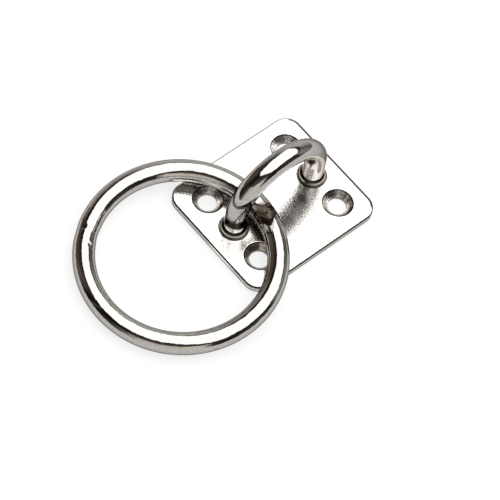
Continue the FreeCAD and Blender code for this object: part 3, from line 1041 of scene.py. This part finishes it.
def light_room(scene):
    """Soft box overhead, with duller walls below it."""
    studio = scene.deckring_studio
    world = bpy.data.worlds.new("studio_light")
    scene.world = world
    world.use_nodes = True
    graph = Graph(world.node_tree)
    x, y, z = graph.split(graph.add("ShaderNodeTexCoord").outputs["Generated"])
    turned = graph.span(graph.calc("ARCTAN2", y, x), -math.pi, math.pi, smooth=False)
    low, high = [wall_ramp(graph, turned, [(row[0], row[tone]) for row in WALLS]) for tone in (1, 2)]
    band = [math.sin(math.radians(degrees)) for degrees in WALL_BAND]
    walls = graph.blend(graph.span(z, *band), low, high)

    up = graph.calc("MAXIMUM", z, 0.02)
    past_rim = -10.0
    for degrees, reach in LIGHT_SIDES:
        turn = math.radians(degrees)
        along = graph.calc("ADD", graph.times(x, math.cos(turn)), graph.times(y, math.sin(turn)))
        past_side = graph.calc("SUBTRACT", graph.calc("DIVIDE", along, up), reach)
        past_rim = graph.calc("MAXIMUM", past_side, past_rim)
    lens_reach = 1 / math.tan(studio.camera_elevation)
    lens_place = [lens_reach * part(studio.camera_azimuth) for part in (math.cos, math.sin)]
    lens_off = graph.hypot(*[graph.calc("SUBTRACT", graph.calc("DIVIDE", value, up), middle)
                             for value, middle in zip((x, y), lens_place)])
    past_rim = graph.calc("MAXIMUM", graph.calc("SUBTRACT", LENS_RADIUS, lens_off), past_rim)
    frame_dark = graph.span(past_rim, *FRAME_EDGE, 0.0, 0.6)
    walls = graph.blend(frame_dark, walls, FRAME_COLOUR)
    inside = graph.span(past_rim, studio.light_edge / 2, -studio.light_edge / 2)
    glow = (studio.light_strength,) * 3 + (1.0,)
    background = graph.add("ShaderNodeBackground", graph.blend(inside, walls, glow))
    graph.add("ShaderNodeOutputWorld", background.outputs[0])


def pale_floor(scene):
    """Plain floor just under the part, matt and pale, that keeps the part's shadow."""
    studio = scene.deckring_studio
    start_clean()
    bpy.ops.mesh.primitive_plane_add(size=4.0, location=(0.0, 0.0, 0.0))
    floor = open_piece("floor")
    bpy.ops.transform.translate(value=(0.0, 0.0, PLATE_LOW.z - 2e-5))
    bpy.ops.object.mode_set(mode="OBJECT")
    material = bpy.data.materials.new("floor_paper")
    material.use_nodes = True
    graph = Graph(material.node_tree)
    paper = graph.add("ShaderNodeBsdfDiffuse", tuple(studio.floor_colour) + (1.0,))
    white = graph.add("ShaderNodeEmission")
    rays = graph.add("ShaderNodeLightPath").outputs
    seen = graph.calc("MAXIMUM", rays["Is Camera Ray"],
                     graph.calc("MAXIMUM", rays["Is Glossy Ray"], rays["Is Transmission Ray"]))
    mix = graph.add("ShaderNodeMixShader", graph.times(seen, studio.floor_lift),
                    paper.outputs[0], white.outputs[0])
    graph.add("ShaderNodeOutputMaterial", mix.outputs[0])
    floor.data.materials.append(material)


def aim_camera(scene):
    """Camera at the viewing angle, rolled about its line of sight."""
    studio = scene.deckring_studio
    azimuth, elevation = studio.camera_azimuth, studio.camera_elevation
    back = Vector((math.cos(elevation) * math.cos(azimuth),
                   math.cos(elevation) * math.sin(azimuth),
                   math.sin(elevation)))
    data = bpy.data.cameras.new("camera")
    data.sensor_width = 36.0
    data.lens = studio.camera_lens
    data.clip_start = 0.01
    data.clip_end = 10.0
    camera = bpy.data.objects.new("camera", data)
    scene.collection.objects.link(camera)
    roll = Euler((0.0, 0.0, studio.camera_roll)).to_matrix()
    turn = back.to_track_quat("Z", "Y").to_matrix() @ roll
    camera.matrix_world = turn.to_4x4()
    camera.location = Vector(studio.camera_aim) + back * studio.camera_distance
    scene.camera = camera


class DECKRING_OT_studio(bpy.types.Operator):
    """Lay the floor, light the room and aim the camera"""

    bl_idname = "deckring.studio"
    bl_label = "Studio"

    def execute(self, context):
        pale_floor(context.scene)
        light_room(context.scene)
        aim_camera(context.scene)
        context.scene.view_settings.view_transform = "Standard"
        return {"FINISHED"}


class DECKRING_PT_panel(bpy.types.Panel):
    """Deck lifting ring, piece by piece"""

    bl_idname = "DECKRING_PT_panel"
    bl_label = "Deck Lifting Ring"
    bl_space_type = "VIEW_3D"
    bl_region_type = "UI"
    bl_category = "Deck Ring"

    def draw(self, context):
        for label, name, _, operators in SECTIONS:
            box = self.layout.box()
            box.label(text=label)
            settings = getattr(context.scene, name)
            for key in settings.bl_rna.properties.keys():
                if key not in {"rna_type", "name"}:
                    box.prop(settings, key)
            for operator in operators:
                box.operator(operator.bl_idname)


# Heading in the panel, name on the scene, settings and operators
SECTIONS = (
    ("Plate", "deckring_plate", DECKRING_PG_plate, (DECKRING_OT_base_plate,)),
    ("Eye", "deckring_eye", DECKRING_PG_eye,
     (DECKRING_OT_eye, DECKRING_OT_weld_collars, DECKRING_OT_back_welds)),
    ("Ring", "deckring_ring", DECKRING_PG_ring, (DECKRING_OT_ring,)),
    ("Finish", "deckring_finish", DECKRING_PG_finish, ()),
    ("Studio", "deckring_studio", DECKRING_PG_studio, (DECKRING_OT_studio,)),
)


def register():
    for _, name, group, operators in SECTIONS:
        bpy.utils.register_class(group)
        setattr(bpy.types.Scene, name, PointerProperty(type=group))
        for operator in operators:
            bpy.utils.register_class(operator)
    bpy.utils.register_class(DECKRING_PT_panel)


def unregister():
    bpy.utils.unregister_class(DECKRING_PT_panel)
    for _, name, group, operators in reversed(SECTIONS):
        for operator in reversed(operators):
            bpy.utils.unregister_class(operator)
        delattr(bpy.types.Scene, name)
        bpy.utils.unregister_class(group)


def main():
    register()
    bpy.ops.deckring.base_plate()
    bpy.ops.deckring.eye()
    bpy.ops.deckring.weld_collars()
    bpy.ops.deckring.back_welds()
    bpy.ops.deckring.ring()
    bpy.ops.deckring.studio()


if __name__ == "__main__":
    main()
